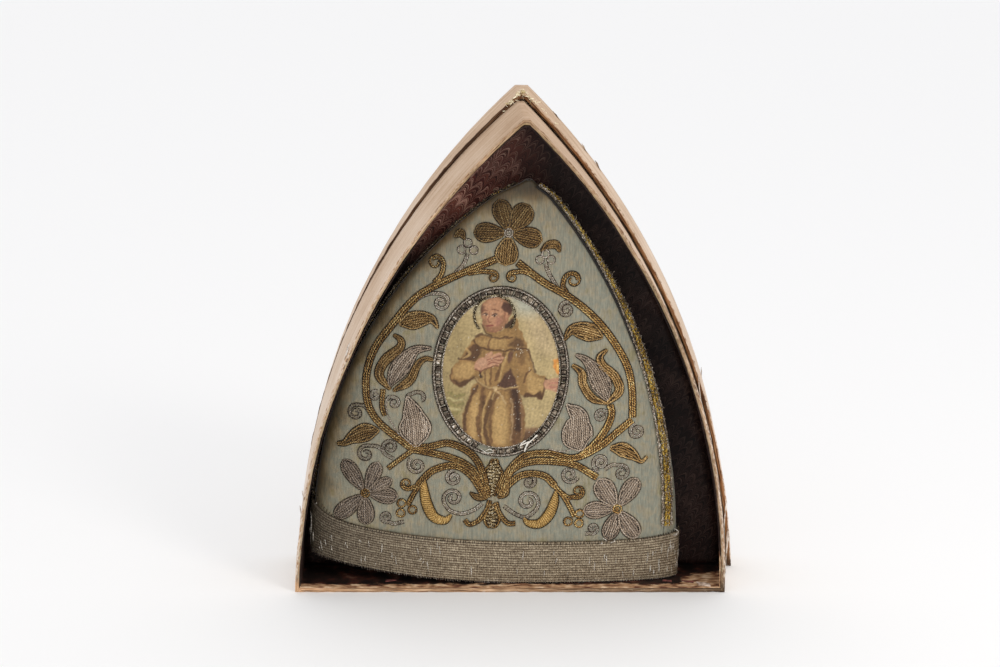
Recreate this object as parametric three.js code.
// A mitre-shaped silk biretta in its pointed pasteboard box.
//
// The cap is two pointed panels sewn together at the sides, with a braid over each seam, a metal
// galloon round the opening and an oval miniature in a ring of purl on the front. It stands in the
// box's tray, which is open to the front. The box's slip-on lid stands right behind the tray.
//
// Millimetres, +Z up. The front faces -Y, and the base stands on Z = 0.

import * as THREE from "three";
import { mergeVertices } from "three/addons/utils/BufferGeometryUtils.js";

// ---------------------------------------------------------------------------------------------
// Driving dimensions
// ---------------------------------------------------------------------------------------------

// Clearance between pieces that touch on the real object.
const GAP = 0.3;
// The same clearance measured level, on walls that slope.
const SLOPE_GAP = 0.45;

// Pointed arches: how far the base reaches to the left and to the right, the radius of each side's
// arc, and where the two arcs meet. The point is worn blunt, level for `blunt` on either side of it.
// The box was cut and glued by hand, so its arches differ a little and lean to one side.
const TRAY_MOUTH = {
  left: { reach: 104.4, radius: 323.9 },
  right: { reach: 105.3, radius: 329.1 },
  tip: { x: 4.4, z: 238.7 },
  blunt: 1.5,
};
const TRAY_BACK = {
  left: { reach: 102.3, radius: 313.3 },
  right: { reach: 109.6, radius: 365 },
  tip: { x: 3.2, z: 240.1 },
  blunt: 1.5,
};
const TRAY_BOARD = 2.0;
const TRAY_DEPTH = 39.5;

// The marbled paper that lines the tray.
const LINING = 0.4;

const LID_MOUTH = {
  left: { reach: 102.2, radius: 330.6 },
  right: { reach: 113.4, radius: 372 },
  tip: { x: 4.2, z: 243.9 },
  blunt: 1,
};
const LID_BACK = {
  left: { reach: 101.4, radius: 330.6 },
  right: { reach: 112.2, radius: 352 },
  tip: { x: 4.4, z: 246.4 },
  blunt: 3.2,
};
const LID_BOARD = 2.3;
const LID_DEPTH = 18;

// The cap's two sides are arcs in the front view.
const CAP_LEFT = { centreX: 112.9, centreZ: 27.4, radius: 210.9 };
const CAP_RIGHT = { centreX: -192.7, centreZ: 19.2, radius: 277.5 };
const CAP_TOP = 207;
// The tip is rounded from this height up, to this share of its width.
const CAP_TIP_START = 198.5;
const CAP_TIP_WIDTH = 0.36;

// Front to back, the cap is a flattened oval about the plane of its ends.
const CAP_PLANE_LOW = 22;
const CAP_PLANE_HIGH = 20;
const CAP_FRONT_BULGE = 14.5;
const CAP_BACK_BULGE = 12;
const CAP_TIP_BULGE = 2.5;
const CAP_BULGE_FALL = 2.2;
const CAP_BULGE_ROUND = 0.7;
// 2 would be an ellipse. A higher number is flatter in front and rounder at the ends.
const CAP_SQUARENESS = 2.6;

// Silk, interlining and lining together.
const PANEL = 1.5;
const PANEL_HEM = 0.8;
// The panels' edges stand this far apart under the braids.
const SEAM_GAP = 0.6;

// The cap leans to the right, so its rim lifts off the floor on the left.
const RIM_LIFT = 12.8;
const RIM_LIFT_START = 15;
const RIM_LIFT_END = -98;
const RIM_LIFT_CURVE = 2.2;

// The right seam lies in front of the cap's right end, lower down more than at the tip.
const RIGHT_SEAM_LOW = 12.3;
const RIGHT_SEAM_RISE = 0.058;
const LEFT_SEAM = 2.6;

// The galloon stands higher at the cap's ends than in the middle of its front.
const GALLOON_WIDTH = 21.5;
const GALLOON_END_WIDTH = 23.6;
const GALLOON_THICK = 1.2;

const BRAID_WIDTH = 6.5;
const BRAID_THICK = 1.2;
const BRAID_TOP = 200.5;

const OVAL_CENTRE = { x: -5.8, z: 112 };
const PAINTING = { halfWidth: 28.5, halfHeight: 37.8, thick: 0.6 };
const PURL_RING = { wide: 4.0, thick: 1.6 };

// ---------------------------------------------------------------------------------------------
// Derived places
// ---------------------------------------------------------------------------------------------

const WALL_TO_LINING = LINING + GAP;
const TRAY_BACK_FRONT = TRAY_DEPTH - TRAY_BOARD;
const LINING_BACK_REAR = TRAY_BACK_FRONT - GAP;
const LINING_BACK_FRONT = LINING_BACK_REAR - LINING;
const TRAY_FLOOR_TOP = TRAY_BOARD + GAP + LINING;

const LID_START = TRAY_DEPTH + GAP;
const LID_END = LID_START + LID_DEPTH;
const LID_BACK_FRONT = LID_END - LID_BOARD;

const RIM_Z = TRAY_FLOOR_TOP + GAP;
const TOTAL_DEPTH = LID_END;

// The tray's mouth reaches furthest to the left, and the lid's mouth to the right.
const LEFTMOST = -(TRAY_MOUTH.left.reach + WALL_TO_LINING + TRAY_BOARD);
const RIGHTMOST = LID_MOUTH.right.reach + LID_BOARD;

// ---------------------------------------------------------------------------------------------
// Materials
// ---------------------------------------------------------------------------------------------

function finish(color, roughness, metalness) {
  return new THREE.MeshStandardMaterial({ color, roughness, metalness });
}

const FINISH = {
  coverPaper: () => finish(0xd9c6b2, 0.85, 0),
  marbledPaper: () => finish(0x4a2a2c, 0.6, 0),
  silk: () => finish(0xb4b3a0, 0.5, 0),
  galloon: () => finish(0x9a8b7a, 0.45, 0.5),
  braid: () => finish(0xb79a4a, 0.4, 0.6),
  painting: () => finish(0xd9bf7a, 0.6, 0),
  purl: () => finish(0x5f5a58, 0.35, 0.7),
};

// ---------------------------------------------------------------------------------------------
// Building closed solids from two grids of points
// ---------------------------------------------------------------------------------------------

function range(count) {
  return Array.from({ length: count + 1 }, (_, i) => i / count);
}

function lerp(a, b, t) {
  return a + (b - a) * t;
}

// outer and inner are grids of the same size, outer[row][column] = Vector3. The solid is the space
// between them. With ring, the last column joins the first.
function solidBetween(outer, inner, { ring = false } = {}) {
  const rows = outer.length;
  const columns = outer[0].length;
  const positions = [];
  const side = (grid, row, column) => grid[row][column % columns].toArray();
  const quad = (a, b, c, d) => positions.push(...a, ...b, ...c, ...a, ...c, ...d);
  const across = ring ? columns : columns - 1;
  for (let row = 0; row < rows - 1; row += 1) {
    for (let column = 0; column < across; column += 1) {
      const corners = [[row, column], [row, column + 1], [row + 1, column + 1], [row + 1, column]];
      const [a, b, c, d] = corners.map(([r, k]) => side(outer, r, k));
      const [e, f, g, h] = corners.map(([r, k]) => side(inner, r, k));
      quad(a, b, c, d);
      quad(h, g, f, e);
    }
  }
  for (let column = 0; column < across; column += 1) {
    for (const [row, turn] of [[0, 1], [rows - 1, 0]]) {
      const [from, to] = turn ? [column + 1, column] : [column, column + 1];
      quad(side(outer, row, from), side(outer, row, to), side(inner, row, to), side(inner, row, from));
    }
  }
  if (!ring) {
    for (let row = 0; row < rows - 1; row += 1) {
      for (const [column, turn] of [[0, 0], [columns - 1, 1]]) {
        const [from, to] = turn ? [row + 1, row] : [row, row + 1];
        quad(
          side(outer, from, column),
          side(outer, to, column),
          side(inner, to, column),
          side(inner, from, column),
        );
      }
    }
  }
  return facingOut(positions);
}

// Turns every triangle over if the closed surface encloses a negative volume.
function facingOut(positions) {
  const corner = (i) => new THREE.Vector3(positions[i], positions[i + 1], positions[i + 2]);
  let volume = 0;
  for (let i = 0; i < positions.length; i += 9) {
    volume += corner(i).dot(corner(i + 3).cross(corner(i + 6)));
  }
  if (volume < 0) {
    for (let i = 0; i < positions.length; i += 9) {
      for (let axis = 0; axis < 3; axis += 1) {
        const swap = positions[i + 3 + axis];
        positions[i + 3 + axis] = positions[i + 6 + axis];
        positions[i + 6 + axis] = swap;
      }
    }
  }
  const geometry = new THREE.BufferGeometry();
  geometry.setAttribute("position", new THREE.Float32BufferAttribute(positions, 3));
  return mergeVertices(geometry, 1e-4);
}

function piece(name, geometry, material) {
  const mesh = new THREE.Mesh(geometry, material);
  mesh.name = name;
  return mesh;
}

// ---------------------------------------------------------------------------------------------
// Boards of the pointed box
// ---------------------------------------------------------------------------------------------

function blend(a, b, t) {
  if (typeof a === "number") return lerp(a, b, t);
  return Object.fromEntries(Object.keys(a).map((key) => [key, blend(a[key], b[key], t)]));
}

// box = { mouth, back, start, end }: the arches of its mouth and back, and where they stand on Y.
function archAt(box, y) {
  return blend(box.mouth, box.back, (y - box.start) / (box.end - box.start));
}

// The centre of one side's arc, which runs from the end of the base line to the tip.
function arcCentre(arch, side) {
  const { reach, radius } = side < 0 ? arch.left : arch.right;
  const acrossX = arch.tip.x - side * reach;
  const chord = Math.hypot(acrossX, arch.tip.z);
  const away = Math.sqrt(radius ** 2 - chord ** 2 / 4);
  return {
    x: side * reach + acrossX / 2 - (side * arch.tip.z * away) / chord,
    z: arch.tip.z / 2 - (Math.abs(acrossX) * away) / chord,
    radius,
  };
}

// The points of one side of an arch from its base to its blunt tip, offset outwards.
function archSide(arch, side, offset, y) {
  const steps = 21;
  const centre = arcCentre(arch, side);
  const radius = centre.radius + offset;
  const low = Math.asin(-centre.z / radius);
  const high = Math.acos((side * (arch.tip.x - centre.x) + arch.blunt) / radius);
  const arc = range(steps).map((along) => {
    const angle = lerp(low, high, along);
    const x = centre.x + side * radius * Math.cos(angle);
    return new THREE.Vector3(x, y, centre.z + radius * Math.sin(angle));
  });
  const top = arc[steps].z;
  return [...arc, new THREE.Vector3(arch.tip.x + (side * GAP) / 2, y, top)];
}

// A curved side wall from yFrom to yTo, between two offsets from the box's inner outline.
function archWall(box, side, innerOffset, outerOffset, yFrom, yTo) {
  const grid = (offset) => {
    const [front, rear] = [yFrom, yTo].map((y) => archSide(archAt(box, y), side, offset, y));
    return front.map((point, i) => [point, rear[i]]);
  };
  return solidBetween(grid(outerOffset), grid(innerOffset));
}

// A flat pointed board between yFrom and yTo. Its base stands at zFrom.
function archBoard(box, offset, yFrom, yTo, zFrom) {
  const face = (y) => {
    const [left, right] = [-1, 1].map((side) => archSide(archAt(box, yFrom), side, offset, y));
    const rows = left.map((point, i) => [point, right[i]]);
    rows[0].forEach((point) => point.setZ(zFrom));
    return rows;
  };
  return solidBetween(face(yFrom), face(yTo));
}

// A flat floor between the side walls, inset from their inner faces, from yFrom to yTo.
function floorBoard(box, inset, yFrom, yTo, zFrom, zTo) {
  const level = (z) =>
    [yFrom, yTo].map((y) => {
      const { left, right } = archAt(box, y);
      return [inset - left.reach, right.reach - inset].map((x) => new THREE.Vector3(x, y, z));
    });
  return solidBetween(level(zTo), level(zFrom));
}

const TRAY = { mouth: TRAY_MOUTH, back: TRAY_BACK, start: 0, end: TRAY_DEPTH };
const LID = { mouth: LID_MOUTH, back: LID_BACK, start: LID_START, end: LID_END };

function trayBoards() {
  const outer = WALL_TO_LINING + TRAY_BOARD;
  const wallEnd = TRAY_BACK_FRONT - GAP;
  const wall = (side) => archWall(TRAY, side, WALL_TO_LINING, outer, 0, wallEnd);
  const floorInset = GAP - WALL_TO_LINING;
  const paper = FINISH.coverPaper;
  return [
    piece("tray_back", archBoard(TRAY, outer, TRAY_BACK_FRONT, TRAY_DEPTH, 0), paper()),
    piece("tray_left_wall", wall(-1), paper()),
    piece("tray_right_wall", wall(1), paper()),
    piece("tray_floor", floorBoard(TRAY, floorInset, 0, wallEnd, 0, TRAY_BOARD), paper()),
  ];
}

function trayLining() {
  const floorBottom = TRAY_BOARD + GAP;
  const wallRear = LINING_BACK_FRONT - GAP;
  const wall = (side) => {
    const solid = archWall(TRAY, side, 0, LINING, GAP, wallRear);
    return raiseBase(solid, floorBottom);
  };
  const back = archBoard(TRAY, LINING, LINING_BACK_FRONT, LINING_BACK_REAR, floorBottom);
  const floor = floorBoard(TRAY, GAP, GAP, wallRear, floorBottom, floorBottom + LINING);
  const paper = FINISH.marbledPaper;
  return [
    piece("lining_back", back, paper()),
    piece("lining_left", wall(-1), paper()),
    piece("lining_right", wall(1), paper()),
    piece("lining_floor", floor, paper()),
  ];
}

// Lifts a wall's lowest row of points so that it starts above the floor board.
function raiseBase(geometry, z) {
  const position = geometry.getAttribute("position");
  for (let i = 0; i < position.count; i += 1) {
    position.setZ(i, Math.max(position.getZ(i), z));
  }
  return geometry;
}

function lidBoards() {
  const wallEnd = LID_BACK_FRONT - GAP;
  const wall = (side) => archWall(LID, side, 0, LID_BOARD, LID_START, wallEnd);
  const floor = floorBoard(LID, GAP, LID_START, wallEnd, 0, LID_BOARD);
  const paper = FINISH.coverPaper;
  return [
    piece("lid_back", archBoard(LID, LID_BOARD, LID_BACK_FRONT, LID_END, 0), paper()),
    piece("lid_left_wall", wall(-1), paper()),
    piece("lid_right_wall", wall(1), paper()),
    piece("lid_floor", floor, paper()),
  ];
}

// ---------------------------------------------------------------------------------------------
// The cap's surface
// ---------------------------------------------------------------------------------------------

function arcReach({ radius, centreZ }, z) {
  return Math.sqrt(radius ** 2 - (z - centreZ) ** 2);
}

// The level section of the cap at height z: the middle and half width of its oval, the plane of its
// ends, and how far it bulges to the front and to the back of that plane.
function capSection(z) {
  const left = CAP_LEFT.centreX - arcReach(CAP_LEFT, z);
  const right = CAP_RIGHT.centreX + arcReach(CAP_RIGHT, z);
  const tip = Math.max(0, (z - CAP_TIP_START) / (CAP_TOP - CAP_TIP_START));
  const height = Math.max(0, z / CAP_TOP);
  const fall = Math.max(0, 1 - height ** CAP_BULGE_FALL) ** CAP_BULGE_ROUND;
  return {
    middle: (left + right) / 2,
    half: ((right - left) / 2) * lerp(1, CAP_TIP_WIDTH, tip ** 2),
    plane: lerp(CAP_PLANE_LOW, CAP_PLANE_HIGH, height),
    front: Math.max(CAP_TIP_BULGE, CAP_FRONT_BULGE * fall),
    back: Math.max(CAP_TIP_BULGE, CAP_BACK_BULGE * fall),
  };
}

// A point of the oval at height z. turn runs from 0 at the right end over the front to PI at the
// left end, and on over the back. grow moves it outwards, or inwards if negative.
function ovalPoint(z, turn, grow) {
  const { middle, half, plane, front, back } = capSection(z);
  const power = 2 / CAP_SQUARENESS;
  const c = Math.cos(turn);
  const s = Math.sin(turn);
  const bulge = s >= 0 ? front : back;
  const x = middle + Math.sign(c) * Math.abs(c) ** power * Math.max(half + grow, GAP);
  const y = plane - Math.sign(s) * Math.abs(s) ** power * Math.max(bulge + grow, GAP);
  return new THREE.Vector3(x, y, z);
}

function rimLift(x) {
  const share = (RIM_LIFT_START - x) / (RIM_LIFT_START - RIM_LIFT_END);
  return RIM_LIFT * Math.max(0, share) ** RIM_LIFT_CURVE;
}

// A point of the cap. level is its height above a rim that lies flat. The lift of the real rim
// fades out towards the tip.
function capPoint(level, turn, grow = 0) {
  const flat = ovalPoint(level, turn, grow);
  const fade = (CAP_TOP - level) / (CAP_TOP - RIM_Z);
  return ovalPoint(level + fade * rimLift(flat.x), turn, grow);
}

// Measures the oval at a level: its length over the front, its whole length, and the turn that
// lies at a distance from its right end, over the front.
function measureOval(level) {
  const steps = 720;
  const turns = range(steps).map((t) => (t * 2 - 0.5) * 2 * Math.PI);
  const lengths = [0];
  for (let i = 1; i < turns.length; i += 1) {
    const chord = capPoint(level, turns[i]).distanceTo(capPoint(level, turns[i - 1]));
    lengths.push(lengths[i - 1] + chord);
  }
  const lengthAt = (turn) => interpolate(turns, lengths, turn);
  const start = lengthAt(0);
  return {
    front: lengthAt(Math.PI) - start,
    around: lengthAt(2 * Math.PI) - start,
    turnAt: (distance) => interpolate(lengths, turns, start + distance),
  };
}

function interpolate(xs, ys, x) {
  const found = xs.findIndex((value) => value >= x);
  const high = found < 1 ? xs.length - 1 : found;
  const share = (x - xs[high - 1]) / (xs[high] - xs[high - 1]);
  return lerp(ys[high - 1], ys[high], share);
}

function rightSeam(level) {
  return RIGHT_SEAM_LOW - RIGHT_SEAM_RISE * level;
}

// The cap's rows lie closer together towards the tip. Pieces that lie on one another share them.
function levelsBetween(low, high) {
  const rows = range(22).map((t) => lerp(RIM_Z, CAP_TOP, t ** 0.75));
  return [low, ...rows.filter((level) => level > low + 1 && level < high - 1), high];
}

// A patch of the cap between the two distances from the oval's right end that ends() gives.
function capGrid(levels, columns, ends, grow) {
  return levels.map((level) => {
    const oval = measureOval(level);
    const [from, to] = ends(level, oval).map(oval.turnAt);
    return range(columns).map((t) => capPoint(level, lerp(from, to, t), grow));
  });
}

// ---------------------------------------------------------------------------------------------
// The cap's pieces
// ---------------------------------------------------------------------------------------------

function panel(name, ends) {
  const levels = levelsBetween(RIM_Z + PANEL_HEM, CAP_TOP);
  const columns = 22;
  const solid = solidBetween(capGrid(levels, columns, ends, 0), capGrid(levels, columns, ends, -PANEL));
  return piece(name, solid, FINISH.silk());
}

function panels() {
  const open = SEAM_GAP / 2;
  const front = (level, oval) => [rightSeam(level) + open, oval.front + LEFT_SEAM - open];
  const back = (level, oval) => [
    oval.front + LEFT_SEAM + open,
    oval.around + rightSeam(level) - open,
  ];
  return [panel("cap_front_panel", front), panel("cap_back_panel", back)];
}

function seamBraids() {
  const levels = levelsBetween(RIM_Z + GALLOON_END_WIDTH + SLOPE_GAP, BRAID_TOP);
  const strip = (name, seam) => {
    const ends = (level, oval) => {
      const middle = seam(level, oval);
      return [middle - BRAID_WIDTH / 2, middle + BRAID_WIDTH / 2];
    };
    const columns = 10;
    const outer = capGrid(levels, columns, ends, SLOPE_GAP + BRAID_THICK);
    const inner = capGrid(levels, columns, ends, SLOPE_GAP);
    return piece(name, solidBetween(outer, inner), FINISH.braid());
  };
  return [
    strip("seam_braid_right", (level) => rightSeam(level)),
    strip("seam_braid_left", (level, oval) => oval.front + LEFT_SEAM),
  ];
}

function galloon() {
  const columns = 72;
  const turns = range(columns).slice(0, -1).map((t) => 2 * Math.PI * t);
  const width = (turn) => lerp(GALLOON_WIDTH, GALLOON_END_WIDTH, Math.cos(turn) ** 4);
  const ring = (grow) =>
    [0, 0.5, 1].map((up) => turns.map((turn) => capPoint(RIM_Z + up * width(turn), turn, grow)));
  const solid = solidBetween(ring(SLOPE_GAP + GALLOON_THICK), ring(SLOPE_GAP), { ring: true });
  return piece("galloon", solid, FINISH.galloon());
}

// The front of the cap at (x, z), a distance in front of the silk.
function frontPoint(x, z, lift) {
  const { middle, half, plane, front } = capSection(z);
  const share = Math.abs((x - middle) / half);
  const depth = Math.max(0, 1 - share ** CAP_SQUARENESS) ** (1 / CAP_SQUARENESS);
  return new THREE.Vector3(x, plane - front * depth - lift, z);
}

function miniature() {
  const steps = 14;
  const face = (lift) =>
    range(steps).map((i) =>
      range(steps).map((j) => {
        const u = 2 * i - 1;
        const v = 2 * j - 1;
        const x = OVAL_CENTRE.x + PAINTING.halfWidth * u * Math.sqrt(1 - (v * v) / 2);
        const z = OVAL_CENTRE.z + PAINTING.halfHeight * v * Math.sqrt(1 - (u * u) / 2);
        return frontPoint(x, z, lift);
      }),
    );
  return piece("miniature", solidBetween(face(GAP + PAINTING.thick), face(GAP)), FINISH.painting());
}

function purlRing() {
  const around = 48;
  const face = (lift) =>
    [GAP, GAP + PURL_RING.wide].map((out) =>
      range(around).slice(0, -1).map((t) => {
        const angle = 2 * Math.PI * t;
        const x = OVAL_CENTRE.x + (PAINTING.halfWidth + out) * Math.cos(angle);
        const z = OVAL_CENTRE.z + (PAINTING.halfHeight + out) * Math.sin(angle);
        return frontPoint(x, z, lift);
      }),
    );
  const solid = solidBetween(face(GAP + PURL_RING.thick), face(GAP), { ring: true });
  return piece("purl_ring", solid, FINISH.purl());
}

// ---------------------------------------------------------------------------------------------
// The whole, moved so that its origin is the middle of its base
// ---------------------------------------------------------------------------------------------

const birettaInBox = new THREE.Group();
birettaInBox.position.set(-(LEFTMOST + RIGHTMOST) / 2, -TOTAL_DEPTH / 2, 0);
birettaInBox.add(...trayBoards(), ...trayLining(), ...lidBoards());
birettaInBox.add(...panels(), ...seamBraids(), galloon(), miniature(), purlRing());

export default birettaInBox;
